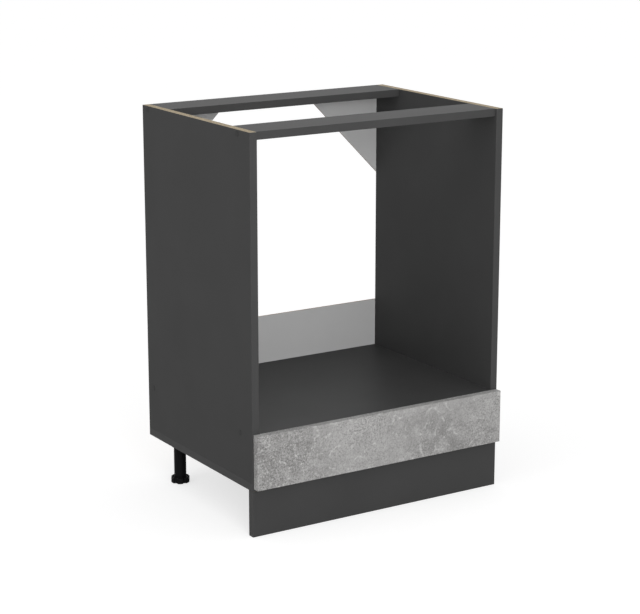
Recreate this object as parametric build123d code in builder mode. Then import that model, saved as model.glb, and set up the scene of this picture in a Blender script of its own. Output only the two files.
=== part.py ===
from build123d import *
import os

os.makedirs("parts", exist_ok=True)

# Base cabinet for a built-in oven: chipboard carcass on four screw feet, with a fixed
# fascia under the oven and a plinth board that clips on to the front feet.
# Millimetres. X is the width, the front faces -Y, Z is up and the floor is Z = 0.
# The origin is on the floor, midway between the outer sides and midway between the
# fascia's front face and the back sheet's rear face.

# Carcass
width = 600.0  # outside faces of the two sides
depth = 440.0  # carcass without fascia and back sheet
side_height = 700.0  # sides, which stand on the bottom panel
board = 16.0  # melamine faced chipboard
tape = 1.0  # edging glued to the edges that show
tape_round = 0.6  # rounding along the edging's outer corners
cavity_height = 86.0  # from the bottom panel up to the oven shelf
rail_width = 88.0
rail_setback = 5.0  # front rail behind the sides' front edges

# Back sheet parts, nailed to the rear edges
sheet = 3.0
sheet_inset = 1.5  # sheet edges in from the carcass's outline
strip_rise = 107.0  # back strip above the oven shelf
gusset_leg = 208.0  # short sides of the corner gussets

# Fascia and plinth board
fascia_gap = 1.0  # between the fascia and the sides' front edges
fascia_margin = 2.0  # fascia's ends in from the outer faces
fascia_lift = 6.0  # fascia's lower edge above the carcass's underside
plinth_top_gap = 0.5
plinth_floor_gap = 0.5

# Feet: a socket screwed under the bottom panel, a leg pushed into it, and a foot
# whose threaded stem screws up into the leg
foot_height = 96.0  # floor to the carcass's underside
foot_side_inset = 39.0  # foot's axis from the outer face
front_foot_inset = 40.0  # foot's axis from the carcass's front
rear_foot_inset = 63.0  # foot's axis from the carcass's rear
leg_d = 26.0
leg_wall = 2.5
bush_height = 14.0  # threaded end of the leg
stem_d = 16.0
stem_length = 44.0
thread_pitch = 3.0
thread_depth = 0.8
thread_flank = 1.0
thread_root = 0.5
sole_d = 40.0
sole_height = 13.0
sole_round = 2.5
sole_chamfer = 1.0
dish_width = 2.0  # ring groove in the sole's top
dish_depth = 5.0
dish_wall = 1.0  # between the leg's outline and the groove
lobe_count = 6
flute_r = 4.5  # finger grooves between the lobes
flute_bite = 3.5
plate_thickness = 4.0
plate_width = 60.0
plate_short = 21.0  # from the foot's axis to the plate's near edge
plate_long = 39.0  # from the foot's axis to the plate's far edge
plate_corner = 5.0
plate_screw_margin = 7.0  # screw holes in from the plate's edges
collar_wall = 4.0
collar_depth = 12.0
rib_thickness = 2.0
rib_reach = 5.0
rib_height = 7.0

# Clips on the plinth board
clip_level = 52.0  # clip's middle above the floor
clip_height = 20.0
clip_wall = 4.0
clip_arm = 10.0  # arms past the leg's axis
clip_plate_width = 56.0
clip_plate_thickness = 3.0
clip_screw_margin = 6.0
clip_web_width = 20.0
clip_round = 1.5

# Angle brackets behind the fascia
bracket_leg = 28.0
bracket_width = 20.0
bracket_metal = 2.0
bracket_bend = 2.5  # outer radius of the bend
shelf_bracket_x = 150.0  # brackets under the shelf, either side of the middle

# Joining screws through the sides and the bottom panel
bolt_d = 7.0
bolt_core_d = 5.0
bolt_head_d = 10.0
bolt_head_height = 3.0
bolt_length = 50.0
bolt_tip = 3.0
bolt_hex = 4.0  # across flats of the socket in the head
hex_sides = 6
bolt_hex_depth = 3.0
rear_bolt_inset = 22.0  # rear row of screws from the carcass's rear
bottom_bolts = 3  # up through the bottom panel into each side
cap_d = 12.0
cap_proud = 0.6
cap_round = 0.4
cap_peg_d = 3.4
cap_peg_length = 2.6

# Beech dowels
dowel_d = 8.0
dowel_length = 30.0
dowel_in_face = 11.0  # part of a dowel in a board's face, the rest is in an end
dowel_chamfer = 1.0
shelf_dowel_step = 64.0  # shelf dowels inward from its screws
rail_dowel_margin = 22.0  # rail dowels from the rail's long edges

# Small pan head screws
screw_d = 3.5
screw_head_d = 7.0
screw_head_height = 2.2
screw_head_round = 1.0
screw_tip = 3.0
screw_cross = 4.0
screw_cross_width = 0.9
screw_cross_depth = 1.2
foot_screw_length = 16.0
bracket_screw_length = 13.0
clip_screw_length = 15.0

# Nails for the back sheet parts
nail_d = 1.6
nail_head_d = 3.2
nail_head_height = 1.0
nail_length = 20.0
nail_tip = 2.0
nail_margin = 18.0  # end nails of a row from the end of their board or sheet
strip_side_nails = 4
strip_row_nails = 5
gusset_row_nails = 3

# Clearances
fit = 0.05  # fasteners and plugs in their holes, each side
hole_spare = 1.0  # holes deeper than the fastener that they take
running = 0.08  # threaded stem in its leg, each side
slip = 0.3  # clip's arms beside the leg

# Levels and planes that follow from the sizes above
half = width / 2
inner = half - board
side_mid = half - board / 2
overall_depth = board + fascia_gap + depth + sheet
fascia_front = -overall_depth / 2
fascia_back = fascia_front + board
front = fascia_back + fascia_gap
rear = front + depth
floor_level = 0.0
under = foot_height
deck = under + board
shelf_under = deck + cavity_height
shelf_top = shelf_under + board
top = deck + side_height
rail_under = top - board
front_bolt_y = front + rail_setback + rail_width / 2
rear_bolt_y = rear - rear_bolt_inset
front_foot_y = front + front_foot_inset
rear_foot_y = rear - rear_foot_inset
foot_x = half - foot_side_inset

UP = (0, 0, 1)
DOWN = (0, 0, -1)
LEFT = (-1, 0, 0)
RIGHT = (1, 0, 0)
FRONT = (0, -1, 0)
REAR = (0, 1, 0)


def facing(direction, points):
    """Places at points on a face whose outward normal is the direction."""
    return [Plane(origin=point, z_dir=direction).location for point in points]


def spread(first, last, count):
    """Evenly spaced values from first to last."""
    step = (last - first) / (count - 1)
    return [first + step * index for index in range(count)]


def save(piece, name):
    piece.part.label = name
    export_step(piece.part, f"parts/{name}.step")


def slab(low, high):
    """A plain board between two opposite corners."""
    middle_x = (low[0] + high[0]) / 2
    middle_y = (low[1] + high[1]) / 2
    with BuildPart() as piece:
        with BuildSketch(Plane.XY.offset(low[2])):
            with Locations((middle_x, middle_y)):
                Rectangle(high[0] - low[0], high[1] - low[1])
        extrude(amount=high[2] - low[2])
    return piece.part


def edging(low, high, outward, along):
    """A strip of edging: its outer face looks outward, its long corners are rounded."""
    with BuildPart() as piece:
        add(slab(low, high))
        outer = piece.faces().sort_by(Axis((0, 0, 0), outward))[-1]
        fillet(outer.edges().filter_by(along), tape_round)
    return piece.part


# Where the fasteners go, as points on the faces that they enter
shelf_level = (shelf_under + shelf_top) / 2
rail_level = (rail_under + top) / 2
shelf_bolt_spots = [(front_bolt_y, shelf_level), (rear_bolt_y, shelf_level)]
front_rail_bolt_spot = (front_bolt_y, rail_level)
rear_rail_bolt_spot = (rear_bolt_y, rail_level)
rail_bolt_spots = [front_rail_bolt_spot, rear_rail_bolt_spot]
side_bolt_spots = shelf_bolt_spots + rail_bolt_spots
shelf_dowel_spots = [
    (front_bolt_y + shelf_dowel_step, shelf_level),
    (rear_bolt_y - shelf_dowel_step, shelf_level),
]
front_rail_front = front + rail_setback
front_rail_rear = front_rail_front + rail_width
rear_rail_front = rear - rail_width
front_rail_dowel_spots = [
    (front_rail_front + rail_dowel_margin, rail_level),
    (front_rail_rear - rail_dowel_margin, rail_level),
]
rear_rail_dowel_spots = [(rear_rail_front + rail_dowel_margin, rail_level)]
side_dowel_spots = shelf_dowel_spots + front_rail_dowel_spots + rear_rail_dowel_spots
bottom_bolt_ys = spread(front_foot_y + plate_width, rear_foot_y - plate_width, bottom_bolts)
bottom_dowel_ys = [front_foot_y, rear_foot_y]
bolt_in_end = bolt_length - board
dowel_in_end = dowel_length - dowel_in_face

# Each foot's plane has its origin on the floor under the leg. The plate's long side
# points into the cabinet along the plane's Y.
feet = {
    "front_left": Plane(origin=(-foot_x, front_foot_y, floor_level)),
    "front_right": Plane(origin=(foot_x, front_foot_y, floor_level)),
    "rear_left": Plane(origin=(-foot_x, rear_foot_y, floor_level), x_dir=LEFT, z_dir=UP),
    "rear_right": Plane(origin=(foot_x, rear_foot_y, floor_level), x_dir=LEFT, z_dir=UP),
}
plate_screw_x = plate_width / 2 - plate_screw_margin
plate_screw_spots = [
    (x, y)
    for x in (-plate_screw_x, plate_screw_x)
    for y in (plate_screw_margin - plate_short, plate_long - plate_screw_margin)
]
plate_under = under - plate_thickness
foot_screw_spots = [
    foot.from_local_coords((x, y, plate_under)) for foot in feet.values() for x, y in plate_screw_spots
]


def foot_screw_places(level):
    """Places under the four plates, looking down, at the given level."""
    return facing(DOWN, [(spot.X, spot.Y, level) for spot in foot_screw_spots])


# Angle brackets: each has a plane whose X points into the cabinet from the fascia's
# back, whose Y points away from the board that carries the bracket, and whose Z runs
# along the bend.
cavity_level = (deck + shelf_under) / 2
brackets = {
    "left_side": Plane(origin=(-inner, fascia_back, cavity_level), x_dir=REAR, z_dir=DOWN),
    "right_side": Plane(origin=(inner, fascia_back, cavity_level), x_dir=REAR, z_dir=UP),
    "left_shelf": Plane(origin=(-shelf_bracket_x, fascia_back, shelf_under), x_dir=REAR, z_dir=LEFT),
    "right_shelf": Plane(origin=(shelf_bracket_x, fascia_back, shelf_under), x_dir=REAR, z_dir=LEFT),
}
bracket_hole_reach = (bracket_leg + bracket_metal) / 2
bracket_board_spots = {
    name: plane.from_local_coords((bracket_hole_reach, 0, 0)) for name, plane in brackets.items()
}
bracket_fascia_spots = [
    plane.from_local_coords((0, bracket_hole_reach, 0)) for plane in brackets.values()
]
board_screw_hole = bracket_screw_length - bracket_metal + hole_spare

# Clips: screwed to the plinth board's back in line with the front feet
plinth_back = front + board
clip_screw_x = clip_plate_width / 2 - clip_screw_margin
clip_screw_spots = [
    (x + dx, plinth_back, clip_level) for x in (-foot_x, foot_x) for dx in (-clip_screw_x, clip_screw_x)
]

# Nails into the rear edges
strip_low = under + sheet_inset
strip_high = shelf_top + strip_rise
sheet_x = half - sheet_inset
sheet_top = top - sheet_inset
bottom_level = (under + deck) / 2
row_reach = inner - bolt_in_end - nail_margin
strip_side_spots = [
    (x, z)
    for x in (-side_mid, side_mid)
    for z in spread(deck + nail_margin, strip_high - nail_margin, strip_side_nails)
]
bottom_row_spots = [(x, bottom_level) for x in spread(-row_reach, row_reach, strip_row_nails)]
shelf_row_spots = [(x, shelf_level) for x in spread(-row_reach, row_reach, strip_row_nails)]
strip_nail_spots = strip_side_spots + bottom_row_spots + shelf_row_spots
gusset_low = sheet_top - gusset_leg + 2 * nail_margin
gusset_far = sheet_x - gusset_leg + 2 * nail_margin
gusset_side_zs = spread(rail_under - nail_margin, gusset_low, gusset_row_nails)
gusset_rail_xs = spread(row_reach, gusset_far, gusset_row_nails)
gusset_side_spots = [(sign * side_mid, z) for sign in (-1, 1) for z in gusset_side_zs]
gusset_rail_spots = [(sign * x, rail_level) for sign in (-1, 1) for x in gusset_rail_xs]
gusset_nail_spots = gusset_side_spots + gusset_rail_spots
nail_in_board = nail_length - sheet
nail_hole_r = nail_d / 2 + fit


def nail_holes(spots):
    """Places for nail holes in the boards' rear edges."""
    return facing(REAR, [(x, rear, z) for x, z in spots])


# The two sides: chipboard with melamine faces, edging on the front edge only, top
# edge raw. They stand on the bottom panel. The left one is drilled here, and the
# right one is its mirror image.
with BuildPart() as left_side:
    add(slab((-half, front + tape, deck), (-inner, rear, top)))
    with Locations(*facing(LEFT, [(-half, y, z) for y, z in side_bolt_spots])):
        CounterBoreHole(bolt_d / 2 + fit, bolt_head_d / 2 + fit, bolt_head_height, board)
    with Locations(*facing(RIGHT, [(-inner, y, z) for y, z in side_dowel_spots])):
        Hole(dowel_d / 2 + fit, dowel_in_face + hole_spare)
    with Locations(*facing(DOWN, [(-side_mid, y, deck) for y in bottom_bolt_ys])):
        Hole(bolt_core_d / 2 + fit, bolt_in_end + hole_spare)
    with Locations(*facing(DOWN, [(-side_mid, y, deck) for y in bottom_dowel_ys])):
        Hole(dowel_d / 2 + fit, dowel_in_end + hole_spare)
    with Locations(*facing(RIGHT, [bracket_board_spots["left_side"]])):
        Hole(screw_d / 2 + fit, board_screw_hole)
    with Locations(*nail_holes([spot for spot in strip_side_spots + gusset_side_spots if spot[0] < 0])):
        Hole(nail_hole_r, nail_in_board + hole_spare)
save(left_side, "left_side")

with BuildPart() as right_side:
    mirror(left_side.part, about=Plane.YZ)
save(right_side, "right_side")

with BuildPart() as left_side_edging:
    add(edging((-half, front, deck), (-inner, front + tape, top), FRONT, Axis.Z))
save(left_side_edging, "left_side_edging")

with BuildPart() as right_side_edging:
    mirror(left_side_edging.part, about=Plane.YZ)
save(right_side_edging, "right_side_edging")

# Bottom panel: as wide as the cabinet, so its ends show below the sides and are edged
# like its front. Screws go up through it into the sides.
with BuildPart() as bottom_panel:
    add(slab((-half + tape, front + tape, under), (half - tape, rear, deck)))
    with Locations(*facing(DOWN, [(sign * side_mid, y, under) for sign in (-1, 1) for y in bottom_bolt_ys])):
        CounterBoreHole(bolt_d / 2 + fit, bolt_head_d / 2 + fit, bolt_head_height, board)
    with Locations(*facing(UP, [(sign * side_mid, y, deck) for sign in (-1, 1) for y in bottom_dowel_ys])):
        Hole(dowel_d / 2 + fit, dowel_in_face + hole_spare)
    with Locations(*foot_screw_places(under)):
        Hole(screw_d / 2 + fit, foot_screw_length - plate_thickness + hole_spare)
    with Locations(*nail_holes(bottom_row_spots)):
        Hole(nail_hole_r, nail_in_board + hole_spare)
save(bottom_panel, "bottom_panel")

with BuildPart() as bottom_front_edging:
    add(edging((-half + tape, front, under), (half - tape, front + tape, deck), FRONT, Axis.X))
save(bottom_front_edging, "bottom_front_edging")

with BuildPart() as bottom_end_edging:
    add(edging((-half, front, under), (-half + tape, rear, deck), LEFT, Axis.Y))
    add(edging((half - tape, front, under), (half, rear, deck), RIGHT, Axis.Y))
save(bottom_end_edging, "bottom_end_edging")

# Oven shelf: between the sides, and the oven stands on it
with BuildPart() as oven_shelf:
    add(slab((-inner, front + tape, shelf_under), (inner, rear, shelf_top)))
    for sign, outward in ((-1, LEFT), (1, RIGHT)):
        with Locations(*facing(outward, [(sign * inner, y, z) for y, z in shelf_bolt_spots])):
            Hole(bolt_core_d / 2 + fit, bolt_in_end + hole_spare)
        with Locations(*facing(outward, [(sign * inner, y, z) for y, z in shelf_dowel_spots])):
            Hole(dowel_d / 2 + fit, dowel_in_end + hole_spare)
    with Locations(*facing(DOWN, [bracket_board_spots["left_shelf"], bracket_board_spots["right_shelf"]])):
        Hole(screw_d / 2 + fit, board_screw_hole)
    with Locations(*nail_holes(shelf_row_spots)):
        Hole(nail_hole_r, nail_in_board + hole_spare)
save(oven_shelf, "oven_shelf")

with BuildPart() as shelf_edging:
    add(edging((-inner, front, shelf_under), (inner, front + tape, shelf_top), FRONT, Axis.X))
save(shelf_edging, "shelf_edging")


def rail(low_y, high_y, bolt_spot, dowel_spots):
    """A top rail between the sides, edged at its front, drilled in both ends."""
    with BuildPart() as piece:
        add(slab((-inner, low_y + tape, rail_under), (inner, high_y, top)))
        for sign, outward in ((-1, LEFT), (1, RIGHT)):
            with Locations(*facing(outward, [(sign * inner, *bolt_spot)])):
                Hole(bolt_core_d / 2 + fit, bolt_in_end + hole_spare)
            with Locations(*facing(outward, [(sign * inner, y, z) for y, z in dowel_spots])):
                Hole(dowel_d / 2 + fit, dowel_in_end + hole_spare)
    return piece.part


# Front and rear top rails: they tie the sides together and carry the worktop
with BuildPart() as front_rail:
    add(rail(front_rail_front, front_rail_rear, front_rail_bolt_spot, front_rail_dowel_spots))
save(front_rail, "front_rail")

with BuildPart() as front_rail_edging:
    corner = front_rail_front + tape
    add(edging((-inner, front_rail_front, rail_under), (inner, corner, top), FRONT, Axis.X))
save(front_rail_edging, "front_rail_edging")

with BuildPart() as rear_rail:
    add(rail(rear_rail_front, rear, rear_rail_bolt_spot, rear_rail_dowel_spots))
    with Locations(*nail_holes(gusset_rail_spots)):
        Hole(nail_hole_r, nail_in_board + hole_spare)
save(rear_rail, "rear_rail")

with BuildPart() as rear_rail_edging:
    corner = rear_rail_front + tape
    add(edging((-inner, rear_rail_front, rail_under), (inner, corner, top), FRONT, Axis.X))
save(rear_rail_edging, "rear_rail_edging")

# Back strip: thin hardboard nailed over the rear edges, from the bottom panel to a
# hand's breadth above the shelf. The back is open above it for the oven's air.
back_face = rear + sheet


def sheet_holes(spots):
    """Places for nails through a back sheet part, on its rear face."""
    return facing(REAR, [(x, back_face, z) for x, z in spots])


with BuildPart() as back_strip:
    add(slab((-sheet_x, rear, strip_low), (sheet_x, back_face, strip_high)))
    with Locations(*sheet_holes(strip_nail_spots)):
        CounterBoreHole(nail_hole_r, nail_head_d / 2 + fit, nail_head_height, sheet)
save(back_strip, "back_strip")

# Corner gussets: triangles of the same sheet that keep the open back square
with BuildPart() as left_gusset:
    with BuildSketch(Plane.XZ.offset(-rear)):
        with BuildLine():
            Polyline(
                (-sheet_x, sheet_top),
                (-sheet_x + gusset_leg, sheet_top),
                (-sheet_x, sheet_top - gusset_leg),
                close=True,
            )
        make_face()
    extrude(amount=-sheet)
    with Locations(*sheet_holes([spot for spot in gusset_nail_spots if spot[0] < 0])):
        CounterBoreHole(nail_hole_r, nail_head_d / 2 + fit, nail_head_height, sheet)
save(left_gusset, "left_gusset")

with BuildPart() as right_gusset:
    mirror(left_gusset.part, about=Plane.YZ)
save(right_gusset, "right_gusset")

# Fascia: a fixed front panel that closes the space under the oven shelf. Its edging
# goes round all four edges.
fascia_x = half - fascia_margin
fascia_low = under + fascia_lift
with BuildPart() as fascia:
    core_x = fascia_x - tape
    add(slab((-core_x, fascia_front, fascia_low + tape), (core_x, fascia_back, shelf_top - tape)))
    with Locations(*facing(REAR, bracket_fascia_spots)):
        Hole(screw_d / 2 + fit, board_screw_hole)
save(fascia, "fascia")

with BuildPart() as fascia_long_edging:
    for low_z, outward in ((fascia_low, DOWN), (shelf_top - tape, UP)):
        low_corner = (-fascia_x, fascia_front, low_z)
        high_corner = (fascia_x, fascia_back, low_z + tape)
        add(edging(low_corner, high_corner, outward, Axis.X))
save(fascia_long_edging, "fascia_long_edging")

with BuildPart() as fascia_end_edging:
    for low_x, outward in ((-fascia_x, LEFT), (fascia_x - tape, RIGHT)):
        low_corner = (low_x, fascia_front, fascia_low + tape)
        high_corner = (low_x + tape, fascia_back, shelf_top - tape)
        add(edging(low_corner, high_corner, outward, Axis.Z))
save(fascia_end_edging, "fascia_end_edging")

# Plinth board: flush with the sides' front edges, as wide as the cabinet, ends edged
plinth_low = floor_level + plinth_floor_gap
plinth_high = under - plinth_top_gap
with BuildPart() as plinth_board:
    add(slab((-half + tape, front, plinth_low), (half - tape, plinth_back, plinth_high)))
    with Locations(*facing(REAR, clip_screw_spots)):
        Hole(screw_d / 2 + fit, clip_screw_length - clip_plate_thickness + hole_spare)
save(plinth_board, "plinth_board")

with BuildPart() as plinth_edging:
    add(edging((-half, front, plinth_low), (-half + tape, plinth_back, plinth_high), LEFT, Axis.Z))
    add(edging((half - tape, front, plinth_low), (half, plinth_back, plinth_high), RIGHT, Axis.Z))
save(plinth_edging, "plinth_edging")

# Feet, all in black moulded plastic
leg_r = leg_d / 2
stem_r = stem_d / 2
sole_r = sole_d / 2
collar_r = leg_r + collar_wall
collar_low = plate_under - collar_depth
rib_root = collar_r - collar_wall / 2
bush_top = sole_height + bush_height
dish_r = leg_r + dish_wall


def rib_outline(side):
    """A rib between collar and plate, right of the axis for side 1, left for -1."""
    Polyline(
        (side * rib_root, plate_under),
        (side * (collar_r + rib_reach), plate_under),
        (side * collar_r, plate_under - rib_height),
        (side * rib_root, plate_under - rib_height),
        close=True,
    )


def stem_outline():
    """Half section of the stem: ring grooves stand for the turns of its thread."""
    groove_count = int(stem_length / thread_pitch) - 1
    stem_top = sole_height + stem_length
    points = [(0, sole_height - dish_depth), (stem_r, sole_height - dish_depth)]
    for turn in range(groove_count):
        low = sole_height + turn * thread_pitch + thread_flank
        high = low + thread_flank + thread_root
        points += [(stem_r, low), (stem_r - thread_depth, low + thread_flank)]
        points += [(stem_r - thread_depth, high), (stem_r, high + thread_flank)]
    points += [(stem_r, stem_top - thread_depth), (stem_r - thread_depth, stem_top), (0, stem_top)]
    Polyline(*points, close=True)


for name, foot in feet.items():
    across = Plane(foot.origin, x_dir=foot.x_dir, z_dir=-foot.y_dir)
    along = Plane(foot.origin, x_dir=foot.y_dir, z_dir=foot.x_dir)
    plate_holes = [foot.from_local_coords((x, y, plate_under)) for x, y in plate_screw_spots]

    # Socket: a plate with four screw holes, and a ribbed collar that takes the leg
    with BuildPart() as socket:
        with BuildSketch(foot.offset(plate_under)):
            with Locations((0, (plate_long - plate_short) / 2)):
                RectangleRounded(plate_width, plate_long + plate_short, plate_corner)
        extrude(amount=plate_thickness)
        with BuildSketch(foot.offset(collar_low)):
            Circle(collar_r)
            Circle(leg_r + fit, mode=Mode.SUBTRACT)
        extrude(amount=collar_depth)
        for plane, sides in ((across, (-1, 1)), (along, (1,))):
            for side in sides:
                with BuildSketch(plane.offset(-rib_thickness / 2)):
                    with BuildLine():
                        rib_outline(side)
                    make_face()
                extrude(amount=rib_thickness)
        with Locations(*facing(DOWN, plate_holes)):
            Hole(screw_d / 2 + fit, plate_thickness)
    save(socket, f"{name}_socket")

    # Leg: a plain tube whose lower end is a threaded bush
    with BuildPart() as leg:
        with BuildSketch(foot.offset(sole_height)):
            Circle(leg_r)
            Circle(stem_r + running, mode=Mode.SUBTRACT)
        extrude(amount=bush_height)
        with BuildSketch(foot.offset(bush_top)):
            Circle(leg_r)
            Circle(leg_r - leg_wall, mode=Mode.SUBTRACT)
        extrude(amount=plate_under - bush_top)
    save(leg, f"{name}_leg")

    # Foot: a lobed sole that is turned by hand, in one piece with its threaded stem
    with BuildPart() as sole:
        with BuildSketch(foot):
            Circle(sole_r)
            with PolarLocations(sole_r + flute_r - flute_bite, lobe_count, start_angle=180 / lobe_count):
                Circle(flute_r, mode=Mode.SUBTRACT)
        extrude(amount=sole_height)
        fillet(sole.faces().sort_by(Axis.Z)[-1].edges(), sole_round)
        chamfer(sole.faces().sort_by(Axis.Z)[0].edges(), sole_chamfer)
        with BuildSketch(foot.offset(sole_height)):
            Circle(dish_r + dish_width)
            Circle(dish_r, mode=Mode.SUBTRACT)
        extrude(amount=-dish_depth, mode=Mode.SUBTRACT)
        with BuildSketch(across):
            with BuildLine():
                stem_outline()
            make_face()
        revolve(axis=Axis(foot.origin, UP))
    save(sole, f"{name}_foot")

# Clips: a plate on the plinth board's back and a fork that pushes round the front leg
fork_inner = leg_r + slip
fork_outer = fork_inner + clip_wall
clip_back = plinth_back - front_foot_y
plate_face = clip_back + clip_plate_thickness
for side in ("left", "right"):
    foot = feet[f"front_{side}"]
    with BuildPart() as clip:
        with BuildSketch(foot.offset(clip_level - clip_height / 2)):
            Circle(fork_outer)
            with Locations((0, fork_outer / 2)):
                Rectangle(2 * fork_outer, fork_outer, mode=Mode.SUBTRACT)
            with Locations((0, clip_arm / 2)):
                Rectangle(2 * fork_outer, clip_arm)
            with Locations((0, plate_face / 2)):
                Rectangle(clip_web_width, -plate_face)
            Circle(fork_inner, mode=Mode.SUBTRACT)
            with Locations((0, clip_arm / 2)):
                Rectangle(2 * fork_inner, clip_arm, mode=Mode.SUBTRACT)
        extrude(amount=clip_height)
        arm_ends = clip.faces().filter_by(Axis.Y).sort_by(Axis.Y)[-2:]
        fillet(arm_ends.edges().filter_by(Axis.Z), clip_round)
        with BuildSketch(foot.offset(clip_level - clip_height / 2)):
            with Locations((0, clip_back + clip_plate_thickness / 2)):
                Rectangle(clip_plate_width, clip_plate_thickness)
        extrude(amount=clip_height)
        holes = [(foot.origin.X + dx, plinth_back, clip_level) for dx in (-clip_screw_x, clip_screw_x)]
        with Locations(*facing(FRONT, holes)):
            Hole(screw_d / 2 + fit, clip_plate_thickness)
    save(clip, f"{side}_plinth_clip")

# Angle brackets: bent steel, one screw into the board and one into the fascia
for name, plane in brackets.items():
    with BuildPart() as bracket:
        with BuildSketch(plane.offset(-bracket_width / 2)):
            with BuildLine():
                Polyline(
                    (0, 0),
                    (bracket_leg, 0),
                    (bracket_leg, bracket_metal),
                    (bracket_metal, bracket_metal),
                    (bracket_metal, bracket_leg),
                    (0, bracket_leg),
                    close=True,
                )
            make_face()
        extrude(amount=bracket_width)
        bend = bracket.edges().filter_by(Axis(plane.origin, plane.z_dir)).sort_by_distance(plane.origin)[0]
        fillet(bend, bracket_bend)
        board_hole = plane.from_local_coords((bracket_hole_reach, 0, 0))
        fascia_hole = plane.from_local_coords((0, bracket_hole_reach, 0))
        with Locations(*facing(-plane.y_dir, [board_hole]), *facing(FRONT, [fascia_hole])):
            Hole(screw_d / 2 + fit, bracket_metal)
    save(bracket, f"{name}_bracket")


def joining_screw():
    """A chipboard joining screw, its flat head's face at Z = 0 and its tip down."""
    head_r = bolt_head_d / 2
    core_r = bolt_core_d / 2
    with BuildPart() as screw:
        with BuildSketch(Plane.XZ):
            with BuildLine():
                Polyline(
                    (0, 0),
                    (head_r, 0),
                    (head_r, -bolt_head_height),
                    (bolt_d / 2, -bolt_head_height),
                    (bolt_d / 2, -board),
                    (core_r, -board),
                    (core_r, bolt_tip - bolt_length),
                    (0, -bolt_length),
                    close=True,
                )
            make_face()
        revolve(axis=Axis.Z)
        with BuildSketch():
            RegularPolygon(bolt_hex / 2, hex_sides, major_radius=False)
        extrude(amount=-bolt_hex_depth, mode=Mode.SUBTRACT)
    return screw.part


def pan_head_screw(length):
    """A small screw, the underside of its head at Z = 0 and its tip down."""
    with BuildPart() as screw:
        with BuildSketch(Plane.XZ):
            with BuildLine():
                Polyline(
                    (0, screw_head_height),
                    (screw_head_d / 2, screw_head_height),
                    (screw_head_d / 2, 0),
                    (screw_d / 2, 0),
                    (screw_d / 2, screw_tip - length),
                    (0, -length),
                    close=True,
                )
            make_face()
        revolve(axis=Axis.Z)
        fillet(screw.edges().sort_by(Axis.Z)[-1], screw_head_round)
        with BuildSketch(Plane.XY.offset(screw_head_height)):
            Rectangle(screw_cross, screw_cross_width)
            Rectangle(screw_cross_width, screw_cross)
        extrude(amount=-screw_cross_depth, mode=Mode.SUBTRACT)
    return screw.part


def nail():
    """A flat headed nail, its head's face at Z = 0 and its tip down."""
    with BuildPart() as piece:
        with BuildSketch(Plane.XZ):
            with BuildLine():
                Polyline(
                    (0, 0),
                    (nail_head_d / 2, 0),
                    (nail_head_d / 2, -nail_head_height),
                    (nail_d / 2, -nail_head_height),
                    (nail_d / 2, nail_tip - nail_length),
                    (0, -nail_length),
                    close=True,
                )
            make_face()
        revolve(axis=Axis.Z)
    return piece.part


def cover_cap():
    """A plastic cap, its peg in the screw's hex socket and its disc on the board."""
    with BuildPart() as piece:
        with BuildSketch():
            Circle(cap_d / 2)
        extrude(amount=cap_proud)
        fillet(piece.faces().sort_by(Axis.Z)[-1].edges(), cap_round)
        with BuildSketch():
            Circle(cap_peg_d / 2)
        extrude(amount=-cap_peg_length)
    return piece.part


def dowel():
    """A beech dowel with chamfered ends, standing on Z = 0."""
    with BuildPart() as piece:
        with BuildSketch():
            Circle(dowel_d / 2)
        extrude(amount=dowel_length)
        chamfer(piece.edges().filter_by(GeomType.CIRCLE), dowel_chamfer)
    return piece.part


def group(master, places, name):
    """Like pieces in one node, a copy of the master at each place."""
    with BuildPart() as pieces:
        with Locations(*places):
            add(master)
    save(pieces, name)


# Joining screws and their caps
bolt = joining_screw()
for spots, name in ((shelf_bolt_spots, "shelf_screws"), (rail_bolt_spots, "rail_screws")):
    places = facing(LEFT, [(-half, y, z) for y, z in spots]) + facing(RIGHT, [(half, y, z) for y, z in spots])
    group(bolt, places, name)
bottom_bolt_points = [(sign * side_mid, y, under) for sign in (-1, 1) for y in bottom_bolt_ys]
group(bolt, facing(DOWN, bottom_bolt_points), "bottom_screws")
cap = cover_cap()
group(cap, facing(LEFT, [(-half, y, z) for y, z in side_bolt_spots]), "left_cover_caps")
group(cap, facing(RIGHT, [(half, y, z) for y, z in side_bolt_spots]), "right_cover_caps")

# Dowels
peg = dowel()
start_x = inner + dowel_in_face
for spots, name in (
    (shelf_dowel_spots, "shelf_dowels"),
    (front_rail_dowel_spots + rear_rail_dowel_spots, "rail_dowels"),
):
    places = facing(RIGHT, [(-start_x, y, z) for y, z in spots])
    places += facing(LEFT, [(start_x, y, z) for y, z in spots])
    group(peg, places, name)
dowel_foot = deck - dowel_in_face
bottom_dowel_points = [(sign * side_mid, y, dowel_foot) for sign in (-1, 1) for y in bottom_dowel_ys]
group(peg, facing(UP, bottom_dowel_points), "bottom_dowels")

# Small screws
group(pan_head_screw(foot_screw_length), foot_screw_places(plate_under), "foot_screws")
clip_screw_points = [(x, y + clip_plate_thickness, z) for x, y, z in clip_screw_spots]
group(pan_head_screw(clip_screw_length), facing(REAR, clip_screw_points), "plinth_clip_screws")
bracket_places = []
for plane in brackets.values():
    board_point = plane.from_local_coords((bracket_hole_reach, bracket_metal, 0))
    fascia_point = plane.from_local_coords((bracket_metal, bracket_hole_reach, 0))
    bracket_places += facing(plane.y_dir, [board_point]) + facing(REAR, [fascia_point])
group(pan_head_screw(bracket_screw_length), bracket_places, "bracket_screws")

# Nails
back_nail = nail()
group(back_nail, sheet_holes(strip_nail_spots), "strip_nails")
group(back_nail, sheet_holes(gusset_nail_spots), "gusset_nails")
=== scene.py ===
import math

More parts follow.
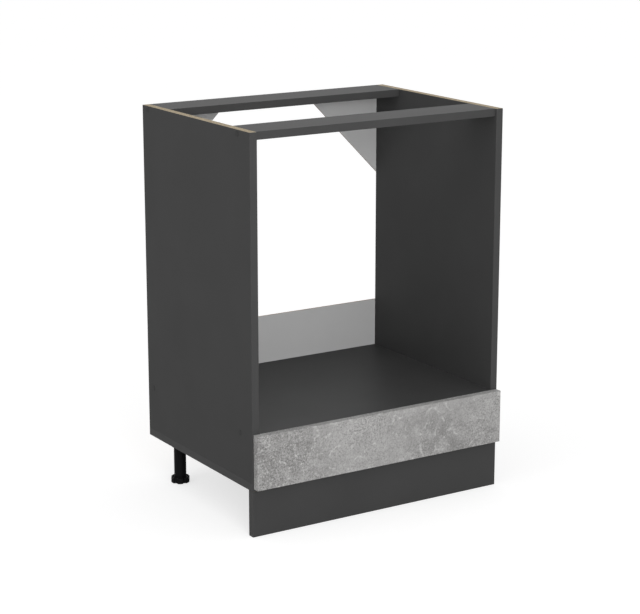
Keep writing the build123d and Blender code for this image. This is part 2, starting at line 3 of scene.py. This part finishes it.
import bpy
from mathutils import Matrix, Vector


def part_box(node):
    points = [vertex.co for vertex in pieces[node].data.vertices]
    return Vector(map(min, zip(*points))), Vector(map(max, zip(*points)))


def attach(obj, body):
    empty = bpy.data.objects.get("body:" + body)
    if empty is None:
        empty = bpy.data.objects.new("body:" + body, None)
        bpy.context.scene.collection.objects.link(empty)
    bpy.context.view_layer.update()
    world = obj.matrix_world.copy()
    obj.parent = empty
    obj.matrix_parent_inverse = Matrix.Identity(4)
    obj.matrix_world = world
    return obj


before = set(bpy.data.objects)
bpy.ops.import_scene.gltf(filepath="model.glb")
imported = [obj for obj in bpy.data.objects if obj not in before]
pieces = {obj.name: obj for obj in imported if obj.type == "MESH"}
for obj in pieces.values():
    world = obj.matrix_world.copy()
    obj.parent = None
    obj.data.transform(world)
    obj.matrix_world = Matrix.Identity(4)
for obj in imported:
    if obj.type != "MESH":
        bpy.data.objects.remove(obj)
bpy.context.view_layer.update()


# Boards of the carcass: two sides, bottom panel, oven shelf, two rails and the plinth board.
# They are 16 mm chipboard pressed between sheets of anthracite melamine paper, sawn to size
# and drilled. Faces have a matt pearl finish, and edges without edging show bare chips.
def linear(colour):
    """An sRGB hex colour as the linear RGBA that a shader takes."""
    levels = [int(colour[i : i + 2], 16) / 255 for i in (1, 3, 5)]
    return [v / 12.92 if v <= 0.04045 else ((v + 0.055) / 1.055) ** 2.4 for v in levels] + [1.0]


def add(finish, kind, inputs=(), **settings):
    """Adds a shader node. An input that is given a node or one of its outputs is linked."""
    tree = finish.node_tree
    node = tree.nodes.new("ShaderNode" + kind)
    for name, value in settings.items():
        setattr(node, name, value)
    for key, value in dict(inputs).items():
        open_inputs = [i for i in node.inputs if i.enabled]
        if isinstance(key, int):
            socket = open_inputs[key]
        else:
            socket = next(i for i in open_inputs if i.name == key)
        if isinstance(value, bpy.types.Node):
            value = next(o for o in value.outputs if o.enabled)
        if isinstance(value, bpy.types.NodeSocket):
            tree.links.new(value, socket)
        else:
            socket.default_value = value
    return node


def bare(name):
    """An empty node material."""
    finish = bpy.data.materials.new(name)
    finish.use_nodes = True
    finish.node_tree.nodes.clear()
    return finish


def dress(finish, *names):
    """Puts a material on CAD pieces."""
    for name in names:
        mesh = pieces[name].data
        mesh.materials.clear()
        mesh.materials.append(finish)


def chips(finish, mm, across):
    """Bare chipboard edge: flat cream to grey brown chips, with dark gaps between them."""
    # Sizes of a chip in mm
    chip_length = 4.5
    chip_thickness = 1.1
    density = [1 / chip_thickness if part else 1 / chip_length for part in across]
    cells = add(finish, "VectorMath", {0: mm, 1: density}, operation="MULTIPLY")
    chip = add(finish, "TexVoronoi", {"Vector": cells, "Scale": 1.0})
    tone = add(finish, "SeparateColor", {"Color": chip.outputs["Color"]})
    light = add(
        finish,
        "Mix",
        {"Factor": tone.outputs["Red"], "A": linear("#D0C3AA"), "B": linear("#A79880")},
        data_type="RGBA",
    )
    gap = add(
        finish,
        "TexVoronoi",
        {"Vector": cells, "Scale": 1.0},
        feature="DISTANCE_TO_EDGE",
    )
    dark = add(
        finish,
        "MapRange",
        {"Value": gap, "From Min": 0.0, "From Max": 0.12, "To Min": 0.6, "To Max": 0.0},
    )
    return add(
        finish,
        "Mix",
        {"Factor": dark, "A": light, "B": linear("#766752")},
        data_type="RGBA",
    )


def faced_board(name, across, middle):
    """Melamine faced chipboard whose faces look along the axis across, centred at middle (mm)."""
    finish = bare(name)
    place = add(finish, "TexCoord")
    mm = add(finish, "VectorMath", {0: place.outputs["Object"], "Scale": 1000.0}, operation="SCALE")
    # Paper: an even dark grey, its pearl texture 1.5 mm across
    cloud = add(finish, "TexNoise", {"Vector": mm, "Scale": 1 / 120, "Detail": 2.0})
    pearl = add(finish, "TexNoise", {"Vector": mm, "Scale": 1 / 1.5, "Detail": 2.0})
    paper = add(
        finish,
        "Mix",
        {"Factor": cloud, "A": linear("#404040"), "B": linear("#464646")},
        data_type="RGBA",
    )
    # Core: shows on sawn edges and in drilled holes, under 0.3 mm of paper and resin
    core_half = 7.7
    raw = chips(finish, mm, across)
    facing = add(finish, "VectorMath", {0: place.outputs["Normal"], 1: across}, operation="DOT_PRODUCT")
    turned = add(finish, "Math", {0: facing.outputs["Value"]}, operation="ABSOLUTE")
    sawn = add(finish, "Math", {0: turned, 1: 0.5}, operation="LESS_THAN")
    depth = add(finish, "VectorMath", {0: mm, 1: across}, operation="DOT_PRODUCT")
    off = add(finish, "Math", {0: depth.outputs["Value"], 1: middle}, operation="SUBTRACT")
    away = add(finish, "Math", {0: off}, operation="ABSOLUTE")
    inside = add(finish, "Math", {0: away, 1: core_half}, operation="LESS_THAN")
    core = add(finish, "Math", {0: sawn, 1: inside}, operation="MULTIPLY")
    colour = add(finish, "Mix", {"Factor": core, "A": paper, "B": raw}, data_type="RGBA")
    rough = add(finish, "MapRange", {"Value": core, "To Min": 0.46, "To Max": 0.9})
    relief = add(finish, "Bump", {"Strength": 0.15, "Distance": 0.0002, "Height": pearl})
    surface = add(
        finish,
        "BsdfPrincipled",
        {"Base Color": colour, "Roughness": rough, "Normal": relief, "Specular IOR Level": 0.06},
    )
    add(finish, "OutputMaterial", {"Surface": surface})
    return finish


for name, across in (
    ("left_side", (1, 0, 0)),
    ("right_side", (1, 0, 0)),
    ("bottom_panel", (0, 0, 1)),
    ("oven_shelf", (0, 0, 1)),
    ("front_rail", (0, 0, 1)),
    ("rear_rail", (0, 0, 1)),
    ("plinth_board", (0, 1, 0)),
):
    low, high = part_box(name)
    middle = 1000 * (low + high).dot(Vector(across)) / 2
    dress(faced_board(f"anthracite_melamine_on_{name}", across, middle), name)


# Edging: ABS strip 1 mm thick, glued along the front edges and the ends that show.
# It is printed in the boards' anthracite, a little smoother than the paper, and its long
# corners are rounded.
abs_edging = bare("anthracite_abs_edging")
place = add(abs_edging, "TexCoord")
mm = add(abs_edging, "VectorMath", {0: place.outputs["Object"], "Scale": 1000.0}, operation="SCALE")
cloud = add(abs_edging, "TexNoise", {"Vector": mm, "Scale": 1 / 60, "Detail": 2.0})
grain = add(abs_edging, "TexNoise", {"Vector": mm, "Scale": 1 / 1.2, "Detail": 1.0})
colour = add(
    abs_edging,
    "Mix",
    {"Factor": cloud, "A": linear("#444444"), "B": linear("#494949")},
    data_type="RGBA",
)
relief = add(abs_edging, "Bump", {"Strength": 0.1, "Distance": 0.0001, "Height": grain})
surface = add(
    abs_edging,
    "BsdfPrincipled",
    {"Base Color": colour, "Roughness": 0.4, "Normal": relief, "Specular IOR Level": 0.08},
)
add(abs_edging, "OutputMaterial", {"Surface": surface})
dress(
    abs_edging,
    "left_side_edging",
    "right_side_edging",
    "bottom_front_edging",
    "bottom_end_edging",
    "shelf_edging",
    "front_rail_edging",
    "rear_rail_edging",
    "plinth_edging",
)


# Fascia: a chipboard panel faced with melamine paper printed like trowelled concrete, and
# edged all round with ABS strip printed to match. Angle brackets hold it to the carcass.
def concrete(name, across=None):
    """Printed concrete. With across, the sawn edges show chips. Each W picks a pattern."""
    finish = bare(name)
    place = add(finish, "TexCoord")
    mm = add(finish, "VectorMath", {0: place.outputs["Object"], "Scale": 1000.0}, operation="SCALE")
    # Casting: patches about 200 mm across, and in them clouds of 30 mm
    patch = add(
        finish,
        "TexNoise",
        {"Vector": mm, "W": 6760.0, "Scale": 1 / 200, "Detail": 2.0},
        noise_dimensions="4D",
    )
    patch_tone = add(finish, "MapRange", {"Value": patch, "From Min": 0.35, "From Max": 0.65})
    base = add(
        finish,
        "Mix",
        {"Factor": patch_tone, "A": linear("#838281"), "B": linear("#A8A7A6")},
        data_type="RGBA",
    )
    cloud = add(
        finish,
        "TexNoise",
        {"Vector": mm, "W": 650.0, "Scale": 1 / 30, "Detail": 4.0, "Roughness": 0.7},
        noise_dimensions="4D",
    )
    cloud_tone = add(
        finish,
        "MapRange",
        {"Value": cloud, "From Min": 0.4, "From Max": 0.7, "To Max": 0.8},
    )
    cloudy = add(
        finish,
        "Mix",
        {"Factor": cloud_tone, "A": base, "B": linear("#B1B0AF")},
        data_type="RGBA",
    )
    # Trowel: faint level streaks 60 mm long and 5 mm high, and pale curved scrapes
    swept = add(finish, "VectorMath", {0: mm, 1: (1 / 60, 1 / 60, 1 / 5)}, operation="MULTIPLY")
    streak = add(finish, "TexNoise", {"Vector": swept, "Scale": 1.0, "Detail": 2.0})
    streak_tone = add(
        finish,
        "MapRange",
        {"Value": streak, "From Min": 0.5, "From Max": 0.75, "To Max": 0.15},
    )
    streaky = add(
        finish,
        "Mix",
        {"Factor": streak_tone, "A": cloudy, "B": linear("#787776")},
        data_type="RGBA",
    )
    scrape = add(
        finish,
        "TexNoise",
        {"Vector": mm, "W": 3120.0, "Scale": 1 / 36, "Detail": 3.0, "Offset": 1.0, "Gain": 1.0},
        noise_dimensions="4D",
        noise_type="RIDGED_MULTIFRACTAL",
        normalize=False,
    )
    scrape_tone = add(
        finish,
        "MapRange",
        {"Value": scrape, "From Min": 1.4, "From Max": 1.75, "To Max": 0.65},
    )
    scraped = add(
        finish,
        "Mix",
        {"Factor": scrape_tone, "A": streaky, "B": linear("#CFCECD")},
        data_type="RGBA",
    )
    # Sand: dark and light grains 2 to 5 mm across, open in some patches and nearly closed by
    # the trowel in others
    sand = add(
        finish,
        "TexNoise",
        {"Vector": mm, "Scale": 1 / 3.5, "Detail": 4.0, "Roughness": 0.75},
    )
    wear = add(
        finish,
        "TexNoise",
        {"Vector": mm, "W": 4680.0, "Scale": 1 / 200, "Detail": 2.0},
        noise_dimensions="4D",
    )
    grain = add(
        finish,
        "MapRange",
        {"Value": wear, "From Min": 0.65, "From Max": 0.4, "To Min": 0.3, "To Max": 1.5},
    )
    dark = add(finish, "MapRange", {"Value": sand, "From Min": 0.5, "From Max": 0.28})
    dark_grain = add(finish, "Math", {0: dark, 1: grain}, operation="MULTIPLY")
    sandy = add(
        finish,
        "Mix",
        {"Factor": dark_grain, "A": scraped, "B": linear("#6A6968")},
        data_type="RGBA",
    )
    light = add(finish, "MapRange", {"Value": sand, "From Min": 0.56, "From Max": 0.78})
    light_grain = add(finish, "Math", {0: light, 1: grain}, operation="MULTIPLY")
    grainy = add(
        finish,
        "Mix",
        {"Factor": light_grain, "A": sandy, "B": linear("#D2D1CF")},
        data_type="RGBA",
    )
    # Pores: dark pits 1 to 2 mm wide, one in each 16 mm or so
    pit = add(finish, "TexVoronoi", {"Vector": mm, "Scale": 1 / 16})
    pit_tone = add(
        finish,
        "MapRange",
        {"Value": pit, "From Min": 0.09, "From Max": 0.05, "To Max": 0.6},
    )
    colour = add(
        finish,
        "Mix",
        {"Factor": pit_tone, "A": grainy, "B": linear("#5C5B5A")},
        data_type="RGBA",
    )
    if across:
        raw = chips(finish, mm, across)
        facing = add(finish, "VectorMath", {0: place.outputs["Normal"], 1: across}, operation="DOT_PRODUCT")
        turned = add(finish, "Math", {0: facing.outputs["Value"]}, operation="ABSOLUTE")
        sawn = add(finish, "Math", {0: turned, 1: 0.5}, operation="LESS_THAN")
        colour = add(finish, "Mix", {"Factor": sawn, "A": colour, "B": raw}, data_type="RGBA")
    relief = add(finish, "Bump", {"Strength": 0.1, "Distance": 0.0002, "Height": sand})
    surface = add(
        finish,
        "BsdfPrincipled",
        {"Base Color": colour, "Roughness": 0.5, "Normal": relief, "Specular IOR Level": 0.08},
    )
    add(finish, "OutputMaterial", {"Surface": surface})
    return finish


dress(concrete("concrete_melamine_on_fascia", (0, 1, 0)), "fascia")
dress(concrete("concrete_abs_edging"), "fascia_long_edging", "fascia_end_edging")


# Back strip and corner gussets: hardboard 3 mm thick, lacquered light grey on the side that
# faces into the cabinet and bare brown on the side that faces the wall. They are nailed over
# the rear edges of the sides, rail, shelf and bottom panel.
hardboard = bare("lacquered_hardboard")
place = add(hardboard, "TexCoord")
mm = add(hardboard, "VectorMath", {0: place.outputs["Object"], "Scale": 1000.0}, operation="SCALE")
# Lacquer: half dull and nearly even
haze = add(hardboard, "TexNoise", {"Vector": mm, "Scale": 1 / 90, "Detail": 2.0})
lacquer = add(
    hardboard,
    "Mix",
    {"Factor": haze, "A": linear("#C0C0C0"), "B": linear("#C7C7C7")},
    data_type="RGBA",
)
# Bare side: matt pressed fibres 2.5 mm across, a little darker in patches of 90 mm
fibre = add(
    hardboard,
    "TexNoise",
    {"Vector": mm, "Scale": 1 / 2.5, "Detail": 4.0, "Roughness": 0.7},
)
fibre_tone = add(hardboard, "MapRange", {"Value": fibre, "From Min": 0.3, "From Max": 0.7})
felt = add(
    hardboard,
    "Mix",
    {"Factor": fibre_tone, "A": linear("#7C5F42"), "B": linear("#A98663")},
    data_type="RGBA",
)
shade = add(
    hardboard,
    "MapRange",
    {"Value": haze, "From Min": 0.35, "From Max": 0.65, "To Max": 0.2},
)
brown = add(
    hardboard,
    "Mix",
    {"Factor": shade, "A": felt, "B": linear("#6F543A")},
    data_type="RGBA",
)
normal = add(hardboard, "SeparateXYZ", {0: place.outputs["Normal"]})
inward = add(hardboard, "Math", {0: normal.outputs["Y"], 1: -0.5}, operation="LESS_THAN")
colour = add(hardboard, "Mix", {"Factor": inward, "A": brown, "B": lacquer}, data_type="RGBA")
rough = add(hardboard, "MapRange", {"Value": inward, "To Min": 0.8, "To Max": 0.45})
relief = add(hardboard, "Bump", {"Strength": 0.15, "Distance": 0.0002, "Height": fibre})
surface = add(
    hardboard,
    "BsdfPrincipled",
    {"Base Color": colour, "Roughness": rough, "Normal": relief, "Specular IOR Level": 0.12},
)
add(hardboard, "OutputMaterial", {"Surface": surface})
dress(hardboard, "back_strip", "left_gusset", "right_gusset")


# Feet and plinth clips: black polypropylene, injection moulded. Each foot is a socket screwed
# under the bottom panel, a leg tube and a lobed sole on a threaded stem. The clips are
# screwed to the back of the plinth board and push round the front legs.
polypropylene = bare("black_polypropylene")
place = add(polypropylene, "TexCoord")
mm = add(polypropylene, "VectorMath", {0: place.outputs["Object"], "Scale": 1000.0}, operation="SCALE")
# Mould texture: fine, 1.5 mm across, and dull
grain = add(polypropylene, "TexNoise", {"Vector": mm, "Scale": 1 / 1.5, "Detail": 2.0})
colour = add(
    polypropylene,
    "Mix",
    {"Factor": grain, "A": linear("#0B0B0C"), "B": linear("#121213")},
    data_type="RGBA",
)
relief = add(polypropylene, "Bump", {"Strength": 0.2, "Distance": 0.0001, "Height": grain})
surface = add(
    polypropylene,
    "BsdfPrincipled",
    {"Base Color": colour, "Roughness": 0.5, "Normal": relief, "Specular IOR Level": 0.1},
)
add(polypropylene, "OutputMaterial", {"Surface": surface})
for foot in ("front_left", "front_right", "rear_left", "rear_right"):
    dress(polypropylene, f"{foot}_socket", f"{foot}_leg", f"{foot}_foot")
dress(polypropylene, "left_plinth_clip", "right_plinth_clip")


# Cover caps: thin ABS discs moulded in an anthracite a shade darker than the boards, pushed
# with a short peg into the heads of the joining screws in the outer faces of the sides.
cap_abs = bare("anthracite_abs_caps")
place = add(cap_abs, "TexCoord")
mm = add(cap_abs, "VectorMath", {0: place.outputs["Object"], "Scale": 1000.0}, operation="SCALE")
# Mould texture: fine, 1 mm across, and half dull
grain = add(cap_abs, "TexNoise", {"Vector": mm, "Scale": 1.0, "Detail": 1.0})
colour = add(
    cap_abs,
    "Mix",
    {"Factor": grain, "A": linear("#343434"), "B": linear("#3B3B3B")},
    data_type="RGBA",
)
relief = add(cap_abs, "Bump", {"Strength": 0.1, "Distance": 0.0001, "Height": grain})
surface = add(
    cap_abs,
    "BsdfPrincipled",
    {"Base Color": colour, "Roughness": 0.4, "Normal": relief, "Specular IOR Level": 0.1},
)
add(cap_abs, "OutputMaterial", {"Surface": surface})
dress(cap_abs, "left_cover_caps", "right_cover_caps")


# Brackets, screws and nails: mild steel with bright zinc plate. Brackets are bent from strip,
# screws are rolled and nails are drawn; all have a thin bluish grey skin, slightly uneven.
zinc = bare("bright_zinc_plate")
place = add(zinc, "TexCoord")
mm = add(zinc, "VectorMath", {0: place.outputs["Object"], "Scale": 1000.0}, operation="SCALE")
# Bloom: patches 6 mm across, from shiny to cloudy
bloom = add(zinc, "TexNoise", {"Vector": mm, "Scale": 1 / 6, "Detail": 3.0})
colour = add(
    zinc,
    "Mix",
    {"Factor": bloom, "A": linear("#B9BBBE"), "B": linear("#D0D1D2")},
    data_type="RGBA",
)
rough = add(zinc, "MapRange", {"Value": bloom, "To Min": 0.25, "To Max": 0.45})
surface = add(zinc, "BsdfPrincipled", {"Base Color": colour, "Roughness": rough, "Metallic": 1.0})
add(zinc, "OutputMaterial", {"Surface": surface})
dress(
    zinc,
    "left_side_bracket",
    "right_side_bracket",
    "left_shelf_bracket",
    "right_shelf_bracket",
    "shelf_screws",
    "rail_screws",
    "bottom_screws",
    "foot_screws",
    "plinth_clip_screws",
    "bracket_screws",
    "strip_nails",
    "gusset_nails",
)


# Dowels: beech rod 8 mm thick, turned, cut to 30 mm and glued into the joints beside the
# screws. The wood is raw and light tan, with flecks 2 mm across.
beech = bare("turned_beech")
place = add(beech, "TexCoord")
mm = add(beech, "VectorMath", {0: place.outputs["Object"], "Scale": 1000.0}, operation="SCALE")
fleck = add(beech, "TexNoise", {"Vector": mm, "Scale": 1 / 2, "Detail": 3.0, "Distortion": 0.5})
colour = add(
    beech,
    "Mix",
    {"Factor": fleck, "A": linear("#C69D6C"), "B": linear("#D9B689")},
    data_type="RGBA",
)
surface = add(beech, "BsdfPrincipled", {"Base Color": colour, "Roughness": 0.6})
add(beech, "OutputMaterial", {"Surface": surface})
dress(beech, "shelf_dowels", "rail_dowels", "bottom_dowels")


# Studio: a plain white floor under a white surround, two softboxes and the camera, which
# stands where the photograph was taken. The floor is four slabs that meet under the cabinet,
# and each goes with the foot on it, so that a foot still stands on its slab when screwed out.
paint = bare("studio_floor_paint")
ray = add(paint, "LightPath")
# A matt pale grey that throws light up on the cabinet; the camera sees it lifted to white,
# with the shadow kept
matt = add(paint, "BsdfDiffuse", {"Color": linear("#D2D2D2")})
soft = add(paint, "BsdfDiffuse", {"Color": linear("#B8B8B8")})
glow = add(paint, "Emission", {"Color": linear("#FFFFFF"), "Strength": 0.66})
seen = add(paint, "AddShader", {0: soft, 1: glow})
both = add(paint, "MixShader", {0: ray.outputs["Is Camera Ray"], 1: matt, 2: seen})
add(paint, "OutputMaterial", {"Surface": both})

slab_side = 15.0
slab_thickness = 0.1
top_face = (0, 1, 2, 3)
bottom_face = (7, 6, 5, 4)
edge_faces = [(0, 4, 5, 1), (1, 5, 6, 2), (2, 6, 7, 3), (3, 7, 4, 0)]
for foot, x, y in (
    ("front_left", -slab_side, -slab_side),
    ("front_right", slab_side, -slab_side),
    ("rear_left", -slab_side, slab_side),
    ("rear_right", slab_side, slab_side),
):
    outline = [(0, 0), (x, 0), (x, y), (0, y)]
    corners = [(*corner, level) for level in (0, -slab_thickness) for corner in outline]
    slab = bpy.data.meshes.new(f"studio_floor_{foot}")
    slab.from_pydata(corners, [], [top_face, bottom_face, *edge_faces])
    slab.materials.append(paint)
    floor = bpy.data.objects.new(f"studio_floor_{foot}", slab)
    bpy.context.scene.collection.objects.link(floor)
    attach(floor, f"{foot}_foot_body")

# The surround lights softly, and is plain white to the camera and in reflections
surround = bpy.data.worlds.new("studio_surround")
surround.use_nodes = True
surround.node_tree.nodes.clear()
bpy.context.scene.world = surround
ray = add(surround, "LightPath")
shown = add(
    surround,
    "Math",
    {0: ray.outputs["Is Camera Ray"], 1: ray.outputs["Is Glossy Ray"]},
    operation="MAXIMUM",
)
shown = add(surround, "Math", {0: shown, 1: ray.outputs["Is Transmission Ray"]}, operation="MAXIMUM")
lit = add(surround, "Background", {"Color": linear("#FFFFFF"), "Strength": 0.71})
white = add(surround, "Background", {"Color": linear("#FFFFFF"), "Strength": 1.0})
both = add(surround, "MixShader", {0: shown, 1: lit, 2: white})
add(surround, "OutputWorld", {"Surface": both})

# Softboxes: each by its turn to the right and its rise, in degrees, and its power in watts
target = Vector((0, 0, 0.4))
distance = 4.0
box_side = 1.6
for name, turn, rise, power in (("front_softbox", -18, 12, 62.0), ("left_softbox", -80, 26, 14.0)):
    lamp = bpy.data.lights.new(name, "AREA")
    lamp.shape = "SQUARE"
    lamp.size = box_side
    lamp.energy = power
    softbox = bpy.data.objects.new(name, lamp)
    turn = math.radians(turn)
    rise = math.radians(rise)
    aim = Vector((-math.sin(turn) * math.cos(rise), math.cos(turn) * math.cos(rise), -math.sin(rise)))
    softbox.location = target - distance * aim
    softbox.rotation_mode = "QUATERNION"
    softbox.rotation_quaternion = aim.to_track_quat("-Z", "Y")
    bpy.context.scene.collection.objects.link(softbox)

camera_drop = 14.112
camera_turn = 32.27
lens = bpy.data.cameras.new("camera")
lens.lens = 108.9
lens.clip_end = 50.0
camera = bpy.data.objects.new("camera", lens)
camera.location = (-2.1209, -3.3454, 1.3836)
camera.rotation_euler = (math.radians(90 - camera_drop), 0, math.radians(-camera_turn))
bpy.context.scene.collection.objects.link(camera)
bpy.context.scene.camera = camera
bpy.context.scene.view_settings.view_transform = "Standard"
